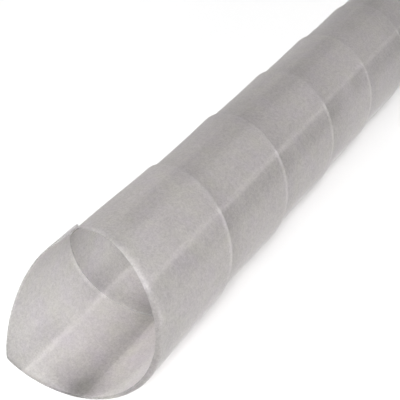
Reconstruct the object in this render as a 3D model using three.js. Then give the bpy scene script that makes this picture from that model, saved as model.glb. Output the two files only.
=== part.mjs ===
// Spiral tree guard: one strip of thin frosted plastic, coiled edge over edge into an open tube
// that is wound on to the trunk of a young tree. Units are millimetres and +Z is up.
//
// The guard lies on its side along +Y, its tongue at the low end of Y. The strip is one piece, but
// its turns shift along the tube over one another, so each turn is a solid of its own. The coil is
// left-handed: with the tube upright, the edges in front rise to the left.

import * as THREE from 'three';

// Driving dimensions
const OUTER_RADIUS = 25; // over the outer edge of each turn
const WALL = 0.6; // thickness of the strip
const LEAD = 42.1; // advance along the tube in one turn
const LAP = 0.8; // how far the outer edge of a turn covers the next one
const LAP_CLEARANCE = 0.3; // radial gap inside the lap
const SEAM_GAP = 0.3; // gap where one turn solid follows on from the last
const FACETS = 36; // per turn, with a flat one lowest, so that the tube lies still
const WINDING = 13 + 17 / FACETS; // turns from the first corner of the strip to the last one
const BANDS = 4; // facets across the strip
const TONGUE_ANGLE = 83.9; // degrees of turn that the first end's slanting cut takes
const TONGUE_RISE = 23.4; // advance of that cut along the tube, up to the strip's first corner
const SPRING = 0.4; // how far the strip's first corner springs outward from the coil
const SPRING_ANGLE = 40; // degrees of turn before the strip is back on the coil
const BULGE = 1.1; // how far the first turns stand out on one side, above the tongue
const BULGE_CENTRE = 45; // winding angle where they stand out most
const BULGE_SPREAD = 40; // degrees either side of it that the bulge takes
const BULGE_FULL = 42; // along the tube from its near end, the bulge is full up to here
const BULGE_GONE = 84; // along the tube, it has died away here
const FREE_ANGLE = 240; // degrees from the first corner where the inner edge starts to draw in
const CURL_ANGLE = 80; // how far the free edge at the mouth curls inward, in degrees
const CURL_RADIUS = 2.2; // outer radius of that curl
const CURL_REACH = 1.5; // how far the curled edge runs out beyond the helix
const CURL_GROWN = 165; // degrees from the first corner where the curl is full
const CURL_FADING = 265; // degrees from the first corner where it starts to fade out again
const CURL_ROWS = [0.8, 1.6, 2.4, 3.2]; // facet lines of the curl, from the edge
const TAIL_ANGLE = 72; // degrees of turn that the last end's slanting cut takes
const TAIL_BLUNT = 0.93; // fraction of that cut at which its point is nipped off

// Derived dimensions
const STRIP = LEAD + LAP; // width of the strip along the tube
const FACET = 360 / FACETS;
const FIRST = 3.5 * FACET; // winding angle of the strip's first corner, from straight up
const TIP = FIRST + TONGUE_ANGLE; // winding angle of the tongue's tip
const LAST = FIRST + 360 * WINDING; // winding angle of the strip's last corner
const EDGE_STEP = WALL + LAP_CLEARANCE; // the inner edge is this much smaller in radius
const radians = THREE.MathUtils.degToRad;

// The strip's two edges are helices.
const smoothStep = (value) => THREE.MathUtils.smoothstep(value, 0, 1);
const innerEdge = (angle) => (LEAD * angle) / 360;
const outerEdge = (angle) => innerEdge(angle) + STRIP;
const AXIS_HEIGHT = OUTER_RADIUS * Math.cos(radians(FACET / 2));

// Outer radius of the strip at a place along the tube. The strip flares out towards its outer edge,
// over the next turn. Its inner edge draws in to fit there, except at the mouth, where it is free.
function outerRadius(angle, along) {
  const across = (along - innerEdge(angle)) / STRIP;
  const drawn = smoothStep((angle - FIRST - FREE_ANGLE) / (360 - FREE_ANGLE));
  const sprung = SPRING * Math.max(0, 1 - (angle - FIRST) / SPRING_ANGLE) ** 2;
  const offBulge = Math.abs(THREE.MathUtils.euclideanModulo(angle - BULGE_CENTRE + 180, 360) - 180);
  const fromEnd = along - innerEdge(TIP);
  const fading = smoothStep((fromEnd - BULGE_FULL) / (BULGE_GONE - BULGE_FULL));
  const bulge = BULGE * (1 - smoothStep(offBulge / BULGE_SPREAD)) * (1 - fading);
  return OUTER_RADIUS - EDGE_STEP * drawn * (1 - across ** 2) + sprung + bulge;
}

// How much of its curl the free edge has at a winding angle, from 0 to 1
function curlShare(angle) {
  const turned = angle - FIRST;
  return smoothStep(turned / CURL_GROWN) * smoothStep((360 - turned) / (360 - CURL_FADING));
}

// Low and high ends of the strip at a winding angle, with the slanting cuts at both ends
function lowEnd(angle) {
  const reach = CURL_REACH * curlShare(angle);
  if (angle >= TIP) return innerEdge(angle) - reach;
  return innerEdge(TIP) + (TONGUE_RISE * (TIP - angle)) / TONGUE_ANGLE - reach;
}

function highEnd(angle) {
  if (angle <= LAST) return outerEdge(angle);
  const part = (angle - LAST) / TAIL_ANGLE;
  return outerEdge(LAST) + (innerEdge(LAST + TAIL_ANGLE) - outerEdge(LAST)) * part;
}

const MIDDLE = (lowEnd(TIP) + outerEdge(LAST)) / 2; // the tube's middle along Y comes to the origin

// The curl at a winding angle: its length over the strip, and where along the tube it starts
function curlAt(angle) {
  const bend = radians(CURL_ANGLE) * curlShare(angle);
  return { length: CURL_RADIUS * bend, start: lowEnd(angle) + CURL_RADIUS * Math.sin(bend) };
}

// A point of the strip: winding angle, distance over the strip from its low end, and depth below
// the outer face
function point(angle, distance, depth) {
  const curl = curlAt(angle);
  const bend = Math.max(0, curl.length - distance) / CURL_RADIUS;
  const flat = curl.start + Math.max(0, distance - curl.length);
  const inward = (CURL_RADIUS - depth) * Math.cos(bend) - CURL_RADIUS;
  const along = flat - (CURL_RADIUS - depth) * Math.sin(bend);
  const radius = outerRadius(angle, flat) + inward;
  const turn = radians(angle);
  return [-radius * Math.sin(turn), along - MIDDLE, radius * Math.cos(turn) + AXIS_HEIGHT];
}

// Distances of the facet lines that run round the tube, from the strip's low end. Only the first
// turn has the lines of the curl.
function rowsAcross(angle, firstTurn) {
  const curl = curlAt(angle);
  const width = curl.length + highEnd(angle) - curl.start;
  const rows = firstTurn ? [0, ...CURL_ROWS] : [0];
  const from = rows[rows.length - 1];
  for (let band = 1; band <= BANDS; band += 1) rows.push(from + ((width - from) * band) / BANDS);
  return rows;
}

// Winding angles of a turn's facet lines. The tongue's tip has a line of its own.
function facetLines(from, to) {
  const gap = (SEAM_GAP / OUTER_RADIUS / Math.PI) * 180;
  const lines = [];
  for (let angle = from; angle < to - 1e-6; angle += FACET) lines.push(angle);
  lines.push(to);
  if (from === FIRST) lines.push(TIP);
  if (to < LAST) lines[lines.indexOf(to)] = to - gap;
  return lines.sort((a, b) => a - b);
}

// One turn as a closed solid, swept from one facet line to the next
function turnGeometry(from, to) {
  const lines = facetLines(from, to);
  const positions = [];
  const index = [];
  const bands = rowsAcross(from, from === FIRST).length - 1;
  for (const angle of lines) {
    const rows = rowsAcross(angle, from === FIRST);
    for (const depth of [0, WALL]) {
      for (const distance of rows) positions.push(...point(angle, distance, depth));
    }
  }
  const outer = (line, band) => line * 2 * (bands + 1) + band;
  const inner = (line, band) => outer(line, band) + bands + 1;
  const quad = (a, b, c, d) => index.push(a, b, c, a, c, d);
  const end = lines.length - 1;
  for (let line = 0; line < end; line += 1) {
    const next = line + 1;
    for (let band = 0; band < bands; band += 1) {
      quad(outer(line, band), outer(line, band + 1), outer(next, band + 1), outer(next, band));
      quad(inner(line, band), inner(next, band), inner(next, band + 1), inner(line, band + 1));
    }
    quad(outer(line, 0), outer(next, 0), inner(next, 0), inner(line, 0));
    quad(outer(line, bands), inner(line, bands), inner(next, bands), outer(next, bands));
  }
  for (let band = 0; band < bands; band += 1) {
    quad(outer(0, band), inner(0, band), inner(0, band + 1), outer(0, band + 1));
    quad(outer(end, band), outer(end, band + 1), inner(end, band + 1), inner(end, band));
  }
  const geometry = new THREE.BufferGeometry();
  geometry.setAttribute('position', new THREE.Float32BufferAttribute(positions, 3));
  geometry.setIndex(index);
  geometry.computeVertexNormals();
  return geometry;
}

// The turns, numbered from the tongue. The last one is part of a turn and has the slanting cut.
const guard = new THREE.Group();
guard.name = 'spiral_tree_guard';
const stripEnd = LAST + TAIL_ANGLE * TAIL_BLUNT;
const turns = Math.ceil((stripEnd - FIRST) / 360);
for (let turn = 0; turn < turns; turn += 1) {
  const from = FIRST + 360 * turn;
  const to = Math.min(from + 360, stripEnd);
  const plastic = new THREE.MeshStandardMaterial({ color: 0xd8d8d5, roughness: 0.45, metalness: 0 });
  const mesh = new THREE.Mesh(turnGeometry(from, to), plastic);
  mesh.name = `turn_${String(turn + 1).padStart(2, '0')}`;
  guard.add(mesh);
}

export default guard;
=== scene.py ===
"""Looks of the spiral tree guard: a strip of frosted plastic coiled into an open tube, on a pale floor."""

import math

import bpy
import numpy as np
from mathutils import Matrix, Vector


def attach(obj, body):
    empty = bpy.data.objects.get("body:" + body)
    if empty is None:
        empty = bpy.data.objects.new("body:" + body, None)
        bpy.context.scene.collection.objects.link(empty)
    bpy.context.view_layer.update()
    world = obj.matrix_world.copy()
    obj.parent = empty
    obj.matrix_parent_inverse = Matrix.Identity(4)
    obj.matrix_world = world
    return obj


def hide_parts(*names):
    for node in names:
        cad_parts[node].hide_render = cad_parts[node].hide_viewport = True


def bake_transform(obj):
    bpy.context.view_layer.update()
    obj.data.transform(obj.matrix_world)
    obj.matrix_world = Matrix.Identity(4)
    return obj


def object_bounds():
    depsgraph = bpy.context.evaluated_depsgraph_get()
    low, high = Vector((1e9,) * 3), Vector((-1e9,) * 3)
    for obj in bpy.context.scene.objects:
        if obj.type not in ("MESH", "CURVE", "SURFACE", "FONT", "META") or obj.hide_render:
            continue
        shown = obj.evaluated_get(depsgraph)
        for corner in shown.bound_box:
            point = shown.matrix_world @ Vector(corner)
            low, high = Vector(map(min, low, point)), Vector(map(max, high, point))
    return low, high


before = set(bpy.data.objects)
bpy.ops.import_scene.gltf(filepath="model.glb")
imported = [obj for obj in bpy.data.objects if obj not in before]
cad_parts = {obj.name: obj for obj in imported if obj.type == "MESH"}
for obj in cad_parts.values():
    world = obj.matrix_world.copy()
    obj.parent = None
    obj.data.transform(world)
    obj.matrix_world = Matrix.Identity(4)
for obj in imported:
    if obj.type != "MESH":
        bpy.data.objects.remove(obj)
cad_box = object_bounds()

# The strip, in millimetres and degrees. Winding angles are measured from straight up.
MM = 0.001
WALL = 0.6
LEAD = 42.1
LAP = 0.8
STRIP = LEAD + LAP
EDGE_STEP = 0.84  # the inner edge is this much smaller in radius than the outer edge that covers it
FREE_ANGLE, DRAWN_ANGLE = 240.0, 360.0  # angles from the first corner where that begins and is complete
CREASE_RADIUS = 24.99  # at the outer edge, where the section is longest
FLATTENING = 0.3  # the section is this much smaller in radius midway between its two creases
CREASE_ANGLE = -44.0  # the first crease; the second one is opposite
CREASE_SHIFT = 1.3  # how far the creases shift from turn to turn
BULGE, BULGE_ANGLE = 1.1, 45.0  # how far the first turns stand out, and the winding angle where they do
BULGE_SPREAD = 45.0  # degrees either side of it that the bulge takes
BULGE_FROM, BULGE_TO = 42.0, 84.0  # along the tube from its near end, the bulge dies away between these
SPRING, SPRING_ANGLE = 0.4, 40.0  # how far the first corner springs out further, and over what angle
SWAY, SWAY_LENGTH = 0.16, 70.0  # how far the tube wanders sideways, and over what length
SWAY_X, SWAY_Z = 0.8, 0.6  # the direction it wanders in
FIRST = 35.0  # first corner of the strip
TIP = FIRST + 83.9
TONGUE_RISE = 23.4
LAST = FIRST + 360 * (13 + 17 / 36)
TAIL_ANGLE, TAIL_BLUNT = 72.0, 0.93
END = LAST + TAIL_ANGLE * TAIL_BLUNT
CURL_ANGLE, CURL_RADIUS = 80.0, 2.2  # how far the free edge at the mouth curls inward
CURL_REACH = 1.5  # how far the curled edge runs out beyond the helix
CURL_GROWN, CURL_FADING = 165.0, 265.0  # angles from the first corner where it is full and starts to fade
CORNER_ROUND = 2.5  # radius of the cut corners of the strip
CUT_SOFTNESS = 0.7  # how far the turn from an edge to a slanting cut is rounded off
EDGE_ROUND = 0.2  # radius of the strip's cut edges
RING_STEP = 4.0  # degrees from one ring of vertices to the next

low_corner, high_corner = cad_box
AXIS_HEIGHT = (high_corner.z - low_corner.z) / 2 / MM
MEAN_RADIUS = CREASE_RADIUS - EDGE_STEP


# ---------------------------------------------------------------- strip geometry

def smooth_step(value):
    part = np.clip(value, 0, 1)
    return part * part * (3 - 2 * part)


def inner_edge(angle):
    return LEAD * angle / 360


def corner_inset(run):
    """How far a rounded corner draws an edge in, at a run in millimetres from the cut end."""
    left = np.clip(CORNER_ROUND - run, 0, CORNER_ROUND)
    return CORNER_ROUND - np.sqrt(CORNER_ROUND**2 - left**2)


def run_from(end_angle, angle):
    """Distance round the tube between two winding angles."""
    return np.abs(np.radians(angle - end_angle)) * MEAN_RADIUS


def curl_share(angle):
    """How much of its curl the free edge has at a winding angle, from 0 to 1."""
    turned = angle - FIRST
    return smooth_step(turned / CURL_GROWN) * smooth_step((360 - turned) / (360 - CURL_FADING))


def low_end(angle):
    """Low end of the strip along the tube: its inner edge, or the tongue's cut where that is higher."""
    edge = inner_edge(angle)
    cut = inner_edge(TIP) + TONGUE_RISE * (TIP - angle) / (TIP - FIRST)
    rounded = 0.5 * (edge + cut + np.sqrt((edge - cut) ** 2 + CUT_SOFTNESS**2))
    return rounded + corner_inset(run_from(FIRST, angle)) - CURL_REACH * curl_share(angle)


def high_end(angle):
    """High end of the strip along the tube: its outer edge, or the slanting cut of the far end."""
    edge = inner_edge(angle) + STRIP
    part = (angle - LAST) / TAIL_ANGLE
    corner = inner_edge(LAST) + STRIP
    cut = corner + (inner_edge(LAST + TAIL_ANGLE) - corner) * part
    rounded = 0.5 * (edge + cut - np.sqrt((edge - cut) ** 2 + CUT_SOFTNESS**2))
    return rounded - corner_inset(run_from(FIRST, angle))


def outer_radius(angle, along):
    """Outer radius of the strip. It flares towards the outer edge, and bulges near the mouth."""
    across = np.clip((along - inner_edge(angle)) / STRIP, 0, 1)
    crease = np.abs(np.sin(np.radians(angle - crease_of(angle))))
    drawn = smooth_step((angle - FIRST - FREE_ANGLE) / (DRAWN_ANGLE - FREE_ANGLE))
    sprung = SPRING * np.clip(1 - (angle - FIRST) / SPRING_ANGLE, 0, 1) ** 2
    off_bulge = (angle - BULGE_ANGLE + 180) % 360 - 180
    bulge = BULGE * (1 - smooth_step(np.abs(off_bulge) / BULGE_SPREAD))
    bulge = bulge * (1 - smooth_step((along - inner_edge(TIP) - BULGE_FROM) / (BULGE_TO - BULGE_FROM)))
    inset = EDGE_STEP * drawn * (1 - across**2) + FLATTENING * crease
    return CREASE_RADIUS - inset + sprung + bulge


def crease_of(angle):
    """Angle of the creases near a winding angle: they shift a little from turn to turn."""
    turn = math.floor((angle - FIRST) / 360)
    return CREASE_ANGLE + CREASE_SHIFT * math.sin(2.4 * turn + 0.6)


def section(width):
    """The strip's section as a closed loop of points: distance from the low end and depth below the face."""
    r = EDGE_ROUND
    c = r * (1 - math.sqrt(0.5))
    near = [0.55, 1.2, 1.9, 2.6, 3.4]
    spaces = 9
    inside = near + [near[-1] + (width - 2 * near[-1]) * k / spaces for k in range(1, spaces)]
    inside += [width - v for v in reversed(near)]
    face = [(r, 0.0)] + [(v, 0.0) for v in inside] + [(width - r, 0.0)]
    rim = [(width - c, c), (width, r), (width, WALL - r), (width - c, WALL - c)]
    back = [(width - v, WALL - d) for v, d in face]
    return face + rim + back + [(width - v, WALL - d) for v, d in rim]


NARROWEST = 10.0  # below this width a section is squeezed as a whole
NEAR_END = inner_edge(TIP) - CURL_REACH * curl_share(TIP)
MIDDLE = (NEAR_END + inner_edge(LAST) + STRIP) / 2


def strip_rings(angles):
    """Vertex grid of the strip, a closed section for each angle, and what the material needs to know there:
    the run round the tube, the place across the strip, the depth, and the distances to edge and crease."""
    rings, extras = [], []
    for angle in angles:
        low, high = float(low_end(angle)), float(high_end(angle))
        curl = math.radians(CURL_ANGLE) * float(curl_share(angle))
        curl_start = low + CURL_RADIUS * math.sin(curl)
        width = CURL_RADIUS * curl + high - curl_start
        full_width = max(width, NARROWEST)
        loop = np.array(section(full_width))
        loop[:, 0] *= width / full_width
        bend = np.maximum(0, curl - loop[:, 0] / CURL_RADIUS)
        flat = curl_start + np.maximum(0, loop[:, 0] - CURL_RADIUS * curl)
        along = flat - (CURL_RADIUS - loop[:, 1]) * np.sin(bend)
        radius = outer_radius(angle, flat) + (CURL_RADIUS - loop[:, 1]) * np.cos(bend) - CURL_RADIUS
        turn = math.radians(angle)
        sway = SWAY * np.sin(2 * math.pi * (along - inner_edge(TIP)) / SWAY_LENGTH)
        x = -radius * math.sin(turn) + SWAY_X * sway
        z = radius * math.cos(turn) + SWAY_Z * sway + AXIS_HEIGHT
        rings.append(np.stack([x, along - MIDDLE, z], 1))
        edge = np.minimum(loop[:, 0], width - loop[:, 0])
        end = min(run_from(FIRST, angle), run_from(END, angle))
        run = np.full(len(loop), turn * MEAN_RADIUS)
        from_crease = (angle - crease_of(angle) + 90) % 180 - 90
        crease = np.full(len(loop), math.radians(from_crease) * MEAN_RADIUS)
        place = flat - inner_edge(angle)
        extras.append(np.stack([run, place, loop[:, 1], np.minimum(edge, end), crease], 1))
    return np.array(rings), np.array(extras)


def ring_angles(start, end):
    """Ring angles of one turn: even steps, and closer ones at creases, cut ends and the tongue's tip."""
    marks = list(np.arange(start, end - 1e-6, RING_STEP)) + [end]
    if start == FIRST:
        runs = (0.06, 0.25, 0.6, 1.1, 1.8, CORNER_ROUND)
        marks += [FIRST + math.degrees(run / MEAN_RADIUS) for run in runs]
        marks += list(np.linspace(TIP - 6, TIP + 6, 13))
    if end == END:
        marks += [END - math.degrees(run / MEAN_RADIUS) for run in (0.3, 0.8, 1.6)]
        marks += list(np.linspace(LAST - 5, LAST + 5, 11))
    crease = crease_of(start + 1)
    crease += 180 * math.ceil((start - crease) / 180)
    while crease <= end:
        marks += [crease + offset for offset in (-1.5, -0.6, 0.0, 0.6, 1.5) if start < crease + offset < end]
        crease += 180
    return sorted(set(round(float(mark), 5) for mark in marks))


turn_names = sorted(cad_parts)
spans = [(FIRST + 360 * k, min(FIRST + 360 * (k + 1), END)) for k in range(len(turn_names))]
turn_angles = [ring_angles(*span) for span in spans]
every_angle = sorted(set(angle for angles in turn_angles for angle in angles))
ring_place = {angle: place for place, angle in enumerate(every_angle)}
all_rings, all_extras = strip_rings(every_angle)


def ring_normals(rings):
    """Smooth vertex normals of the whole strip, so that no line shows between two turns' meshes."""
    across = np.roll(rings, -1, 1) - np.roll(rings, 1, 1)
    along = np.gradient(rings, axis=0)
    normals = np.cross(across, along)
    return normals / np.maximum(np.linalg.norm(normals, axis=2, keepdims=True), 1e-12)


all_normals = ring_normals(all_rings)


def eased(share):
    """The value whose smooth step is share, so that a blend over it is even."""
    return 0.5 - np.sin(np.arcsin(np.clip(1 - 2 * share, -1, 1)) / 3)


def section_faces(base, size, flip):
    """The quads that close one section, as lists of vertex numbers."""
    faces = []
    low, high = 0, size - 1
    while high - low > 1:
        face = [base + low, base + high, base + high - 1, base + low + 1]
        if high - low == 2:
            face.pop()
        faces.append(face[::-1] if flip else face)
        low, high = low + 1, high - 1
    return faces


def turn_piece(number, name):
    """One turn of the strip as a closed mesh."""
    rows = [ring_place[angle] for angle in turn_angles[number]]
    points = all_rings[rows].reshape(-1, 3) * MM
    extras = all_extras[rows].reshape(-1, 5)
    normals = all_normals[rows].reshape(-1, 3)
    size = all_rings.shape[1]
    last = (len(rows) - 1) * size
    faces = []
    for base in range(0, last, size):
        for spot in range(size):
            after = (spot + 1) % size
            faces.append([base + spot, base + after, base + size + after, base + size + spot])
    sides = len(faces)
    faces += section_faces(0, size, False) + section_faces(last, size, True)

    share = (np.repeat(turn_angles[number], size) - spans[number][0]) / 360
    unrolled = np.stack([eased(share), np.zeros(len(share)), points[:, 1]], 1)
    mesh = bpy.data.meshes.new(name)
    mesh.from_pydata(unrolled.tolist(), [], faces)
    piece = bpy.data.objects.new(name, mesh)
    bpy.context.scene.collection.objects.link(piece)
    if number + 1 < len(turn_names):
        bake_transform(piece)
    else:
        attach(piece, turn_names[number])
    mesh.vertices.foreach_set("co", points.astype(np.float32).ravel())
    mesh.update()

    mesh.polygons.foreach_set("use_smooth", [True] * len(faces))
    corner_vertex = np.zeros(len(mesh.loops), np.int32)
    mesh.loops.foreach_get("vertex_index", corner_vertex)
    corner_normals = normals[corner_vertex]
    for face in mesh.polygons[sides:]:
        corner_normals[list(face.loop_indices)] = face.normal
    mesh.normals_split_custom_set(corner_normals.tolist())

    for attribute, kind, values in (
        ("rest_place", "FLOAT_VECTOR", points / MM),
        ("strip_place", "FLOAT_VECTOR", extras[:, :3]),
        ("edge_distance", "FLOAT", extras[:, 3]),
        ("crease_distance", "FLOAT", extras[:, 4]),
    ):
        layer = mesh.attributes.new(attribute, kind, "POINT")
        field = "vector" if kind == "FLOAT_VECTOR" else "value"
        layer.data.foreach_set(field, values.astype(np.float32).ravel())
    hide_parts(turn_names[number])
    return piece


# ---------------------------------------------------------------- material

class Nodes:
    """Short names for adding the nodes of one material."""

    def __init__(self, material):
        material.use_nodes = True
        self.tree = material.node_tree
        self.tree.nodes.clear()

    def new(self, kind, inputs=None, **settings):
        node = self.tree.nodes.new(kind)
        for name, value in settings.items():
            setattr(node, name, value)
        for name, value in (inputs or {}).items():
            if isinstance(value, bpy.types.NodeSocket):
                self.tree.links.new(value, node.inputs[name])
            else:
                node.inputs[name].default_value = value
        return node

    def math(self, operation, first, second=0.0, clamp=False):
        settings = {"operation": operation, "use_clamp": clamp}
        return self.new("ShaderNodeMath", {0: first, 1: second}, **settings).outputs[0]

    def ramp(self, value, low, high, to_low=0.0, to_high=1.0, smooth=False):
        ends = {"Value": value, "From Min": low, "From Max": high, "To Min": to_low, "To Max": to_high}
        kind = "SMOOTHSTEP" if smooth else "LINEAR"
        return self.new("ShaderNodeMapRange", ends, interpolation_type=kind).outputs[0]

    def fade(self, value, start, full):
        """Smooth change from 0 to 1 as the value goes from start to full, which may be the lower."""
        return self.ramp(value, start, full, smooth=True)

    def window(self, value, start, full, full_to, end):
        """1 from full to full_to, and down smoothly to 0 at start and at end."""
        return self.product(self.fade(value, start, full), self.fade(value, end, full_to))

    def wave(self, value, spread, amount):
        """A texture value within spread of a half, as a tone between minus and plus an amount."""
        return self.ramp(value, 0.5 - spread, 0.5 + spread, -amount, amount)

    def noise(self, vector, scale, detail=2.0, rough=0.5):
        settings = {"Vector": vector, "Scale": scale, "Detail": detail, "Roughness": rough}
        return self.new("ShaderNodeTexNoise", settings).outputs["Fac"]

    def stretched(self, vector, scale):
        return self.new("ShaderNodeMapping", {"Vector": vector, "Scale": scale}).outputs["Vector"]

    def attribute(self, name, output):
        return self.new("ShaderNodeAttribute", attribute_name=name).outputs[output]

    def total(self, *values):
        result = values[0]
        for value in values[1:]:
            result = self.math("ADD", result, value)
        return result

    def product(self, *values):
        result = values[0]
        for value in values[1:]:
            result = self.math("MULTIPLY", result, value)
        return result


PLASTIC_VALUE = 0.815
TRANSLUCENCY, DENSER = 0.92, 0.08  # share of light that passes, and how much less of it near an edge
EDGE_BAND = 2.6  # millimetres along every cut edge where the plastic is denser; along the outer edges it also carries a painted glow
LIP_RUN = math.radians(FIRST + CURL_FADING) * MEAN_RADIUS  # run to the place where the mouth's curl fades
SHEEN, LIP_SHEEN, SHEEN_ROUGHNESS = 0.6, 0.15, 0.45
PLASTIC_INDEX, SHEEN_INDEX = 1.5, 1.45
WHITE = (1, 1, 1, 1)


def edge_tone(n, strip, places, edge, crease, band, lip):
    """Changes of tone across each turn and along its cut edges, with painted shade and a painted glow among
    them.
    """
    from_inner = strip["Y"]
    outer_edge = n.ramp(from_inner, STRIP * 0.5, STRIP * 0.6)
    # painted shade beyond the lap, darker lower down
    painted_lap_shade = n.ramp(places["Z"], 12.0, 35.0, -0.065, -0.02)
    # where the painted glow along the outer edges is strongest, on one side of each crease
    glow_side = n.window(crease, -26.0, -16.0, -1.0, 3.0)
    return n.total(
        n.product(n.fade(from_inner, 14.0, 0.0), painted_lap_shade),  # painted shade where it leaves the lap, darker lower down
        n.ramp(from_inner, 10.0, STRIP, 0.0, 0.02),  # and whiter towards its outer edge
        # painted glow along the outer edges
        n.product(band, outer_edge, n.ramp(glow_side, 0.0, 1.0, 0.005, 0.11)),
        n.product(n.fade(edge, 1.0, 0.2), outer_edge, -0.05),
        n.product(n.fade(edge, 0.25, 0.05), -0.12),  # the cut faces
        n.product(lip, -0.04),
    )


def crease_tone(n, crease, scuffs, patches):
    """A crease is a white line. Beside it, where the strip bends most, painted shade makes a darker band,
    and another about 17.5 mm off on its other side.
    """
    line = n.product(n.fade(n.math("ABSOLUTE", crease), 1.2, 0.3), n.ramp(scuffs, 0.3, 0.6))
    beside = n.window(crease, -11.0, -5.0, -2.0, -0.8)
    opposite = n.fade(n.math("ABSOLUTE", n.math("SUBTRACT", crease, 17.5)), 6.0, 1.5)
    # painted shade in the bands beside the crease
    painted_crease_shade = n.product(n.total(beside, n.product(opposite, 0.8)), n.ramp(patches, 0.3, 0.55))
    return n.total(n.product(line, 0.075), n.product(painted_crease_shade, -0.08))


def place_tone(n, places, crease):
    """Underneath, the first turns get painted shade up to the line they lie on, and painted light beyond it
    and along the lower crease. A stretch of the tube after them is darker, with painted shade."""
    beyond = n.math("ARCTAN2", places["X"], n.math("SUBTRACT", AXIS_HEIGHT, places["Z"]))
    # painted shade before the line the tube lies on
    before_line = n.window(beyond, -0.6, -0.12, 0.035, 0.075)
    past_line = n.window(beyond, 0.035, 0.075, 0.4, 1.1)
    low_crease = n.product(n.fade(n.math("ABSOLUTE", crease), 16.0, 2.0), n.ramp(places["Z"], 26.0, 12.0))
    # painted light past that line and along the lower crease
    whiter = n.product(n.total(past_line, low_crease), 0.035)
    bands = n.total(n.product(before_line, -0.055), whiter)
    first_turns = n.fade(places["Y"], -120.0, -190.0)
    # painted shade along a stretch of the tube
    painted_far_shade = n.window(places["Y"], -110.0, -60.0, 0.0, 70.0)
    return n.total(n.product(bands, first_turns), n.product(painted_far_shade, -0.05))


def frosted_plastic():
    """Milky translucent plastic: clouded, streaked along the tube, fine-grained, denser at its edges, with
    painted shade and painted light in bands.
    """
    material = bpy.data.materials.new("frosted_plastic")
    n = Nodes(material)
    rest = n.attribute("rest_place", "Vector")
    along_strip = n.attribute("strip_place", "Vector")
    edge = n.attribute("edge_distance", "Fac")
    crease = n.attribute("crease_distance", "Fac")
    places = n.new("ShaderNodeSeparateXYZ", {0: rest}).outputs
    strip = n.new("ShaderNodeSeparateXYZ", {0: along_strip}).outputs

    cloud = n.noise(rest, 0.03, 3.0)
    tint = n.noise(rest, 0.12, 4.0, 0.75)
    mottle = n.noise(rest, 0.22, 3.0, 0.6)
    grain = n.noise(rest, 1.9, 2.0, 0.7)
    coarse_grain = n.noise(rest, 0.8, 2.0, 0.7)
    streaks = n.noise(n.stretched(rest, (0.35, 0.006, 0.35)), 1.0, 3.0, 0.6)
    scuffs = n.noise(n.stretched(along_strip, (0.5, 0.06, 1.0)), 1.4, 4.0, 0.7)
    patches = n.noise(n.stretched(along_strip, (0.02, 0.05, 0.0)), 1.0, 1.0)

    # The lip is the curled edge of the first turn, at the mouth.
    band = n.fade(edge, EDGE_BAND, 0.9)
    lip = n.product(band, n.ramp(strip["Y"], 6.0, 4.0), n.fade(strip["X"], LIP_RUN + 8.0, LIP_RUN))
    tone = n.total(
        n.wave(cloud, 0.15, 0.015),
        n.wave(mottle, 0.2, 0.009),
        n.wave(grain, 0.2, 0.07),
        n.wave(coarse_grain, 0.2, 0.055),
        n.wave(streaks, 0.15, 0.01),
        edge_tone(n, strip, places, edge, crease, band, lip),
        crease_tone(n, crease, scuffs, patches),
        place_tone(n, places, crease),
    )
    value = n.math("ADD", tone, PLASTIC_VALUE, clamp=True)
    green = n.product(value, n.ramp(tint, 0.3, 0.7, 0.97, 0.988))
    blue = n.product(value, n.ramp(tint, 0.3, 0.7, 0.992, 0.955))
    colour = n.new("ShaderNodeCombineColor", {0: value, 1: green, 2: blue}).outputs[0]

    height = n.total(n.product(grain, 0.5), n.product(mottle, 0.6), n.product(streaks, 0.5))
    bump_settings = {"Height": height, "Strength": 0.25, "Distance": 0.00012}
    bump = n.new("ShaderNodeBump", bump_settings).outputs["Normal"]
    rough = n.total(0.42, n.ramp(scuffs, 0.35, 0.7, -0.04, 0.06), n.wave(grain, 0.2, 0.03))

    skin_settings = {"Base Color": colour, "Roughness": rough, "Normal": bump, "IOR": PLASTIC_INDEX}
    skin = n.new("ShaderNodeBsdfPrincipled", skin_settings).outputs[0]
    through = n.new("ShaderNodeBsdfTranslucent", {"Color": colour, "Normal": bump}).outputs[0]
    passing = n.math("SUBTRACT", TRANSLUCENCY, n.product(n.math("SUBTRACT", band, lip), DENSER))
    body = n.new("ShaderNodeMixShader", {"Fac": passing, 1: skin, 2: through}).outputs[0]
    sheen_settings = {"Color": WHITE, "Roughness": SHEEN_ROUGHNESS, "Normal": bump}
    sheen = n.new("ShaderNodeBsdfAnisotropic", sheen_settings).outputs[0]
    fresnel = n.new("ShaderNodeFresnel", {"IOR": SHEEN_INDEX, "Normal": bump}).outputs[0]
    gloss = n.product(fresnel, n.ramp(lip, 0.0, 1.0, SHEEN, LIP_SHEEN))
    surface = n.new("ShaderNodeMixShader", {"Fac": gloss, 1: body, 2: sheen}).outputs[0]
    n.new("ShaderNodeOutputMaterial", {"Surface": surface})
    return material


plastic = frosted_plastic()
for number, node_name in enumerate(turn_names):
    turn_piece(number, f"strip_{node_name}").data.materials.append(plastic)


# ---------------------------------------------------------------- floor, light and camera

def floor_material():
    material = bpy.data.materials.new("pale_floor")
    n = Nodes(material)
    place = n.new("ShaderNodeTexCoord").outputs["Object"]
    shade = n.ramp(n.noise(place, 6.0), 0.0, 1.0, 0.93, 0.95)
    colour = n.new("ShaderNodeCombineColor", {0: shade, 1: shade, 2: shade}).outputs[0]
    skin = n.new("ShaderNodeBsdfPrincipled", {"Base Color": colour, "Roughness": 0.9}).outputs[0]
    n.new("ShaderNodeOutputMaterial", {"Surface": skin})
    return material


def make_floor(reach):
    mesh = bpy.data.meshes.new("floor")
    corners = [(-reach, -reach, 0), (reach, -reach, 0), (reach, reach, 0), (-reach, reach, 0)]
    mesh.from_pydata(corners, [], [(0, 1, 2, 3)])
    mesh.materials.append(floor_material())
    floor = bpy.data.objects.new("floor", mesh)
    bpy.context.scene.collection.objects.link(floor)


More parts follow.
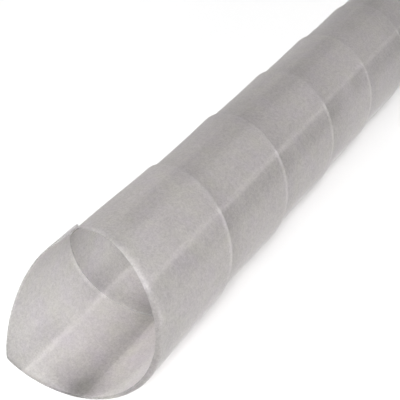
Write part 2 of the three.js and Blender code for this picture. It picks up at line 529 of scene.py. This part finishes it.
def studio_light(side, back, above):
    """Soft white light from low down all round, brightest at the back, and dim above."""
    world = bpy.data.worlds.new("studio")
    bpy.context.scene.world = world
    n = Nodes(world)
    direction = n.new("ShaderNodeTexCoord").outputs["Generated"]
    axes = n.new("ShaderNodeSeparateXYZ", {0: direction}).outputs
    backward = n.math("MAXIMUM", axes["Y"], 0.0)
    low = n.total(n.product(backward, backward, back), side)
    strength = n.total(n.product(n.fade(axes["Z"], 0.45, 0.25), low), above)
    light = n.new("ShaderNodeBackground", {"Color": WHITE, "Strength": strength}).outputs[0]
    n.new("ShaderNodeOutputWorld", {"Surface": light})


def direction_to(compass, elevation):
    """Unit vector to a light, from its compass direction (0 is +Y, 90 is +X) and its height, in degrees."""
    around, up = math.radians(compass), math.radians(elevation)
    return Vector((math.sin(around) * math.cos(up), math.cos(around) * math.cos(up), math.sin(up)))


def add_light(name, kind, away, **settings):
    """A light shining back along the direction away."""
    light = bpy.data.lights.new(name, kind)
    for setting, value in settings.items():
        setattr(light, setting, value)
    lamp = bpy.data.objects.new(name, light)
    bpy.context.scene.collection.objects.link(lamp)
    lamp.rotation_euler = away.to_track_quat("Z", "Y").to_euler()
    return lamp


def distant_light(name, compass, elevation, spread, strength):
    """Soft light from far away, as wide as spread in degrees."""
    away = direction_to(compass, elevation)
    add_light(name, "SUN", away, energy=strength, angle=math.radians(spread))


def softbox(name, aim, compass, elevation, reach, size, power):
    """Square soft light aimed at a point."""
    away = direction_to(compass, elevation)
    add_light(name, "AREA", away, energy=power, size=size).location = aim + reach * away


make_floor(reach=6.0)
studio_light(side=0.04, back=0.9, above=0.2)
# The lights and the camera are placed from the point on the axis level with the tongue's tip.
tip = Vector((0.0, (inner_edge(TIP) - MIDDLE) * MM, AXIS_HEIGHT * MM))
distant_light("key", 152.0, 40.0, 16.0, 2.8)
distant_light("front_fill", 205.0, 48.0, 50.0, 0.75)
distant_light("right", 112.0, 17.0, 14.0, 0.35)
distant_light("left", 272.0, 12.0, 14.0, 0.15)
softbox("near", tip, 155.0, 50.0, 0.5, 0.2, 0.9)

# The camera looks down on the near end and along the tube, which runs away to the upper right.
CAMERA_DOWN, CAMERA_LEFT = 34.81, 30.46  # degrees below level, and to the left of straight along the tube
CAMERA_PLACE = Vector((0.126, -0.1324, 0.179))  # from the point above, in metres
camera_data = bpy.data.cameras.new("camera")
camera = bpy.data.objects.new("camera", camera_data)
bpy.context.scene.collection.objects.link(camera)
bpy.context.scene.camera = camera
camera_data.sensor_width = 36.0
camera_data.lens = 76.3
camera_data.clip_start = 0.01
camera.location = tip + CAMERA_PLACE
camera.rotation_euler = (math.radians(90 - CAMERA_DOWN), 0.0, math.radians(CAMERA_LEFT))

bpy.context.scene.view_settings.view_transform = "Standard"
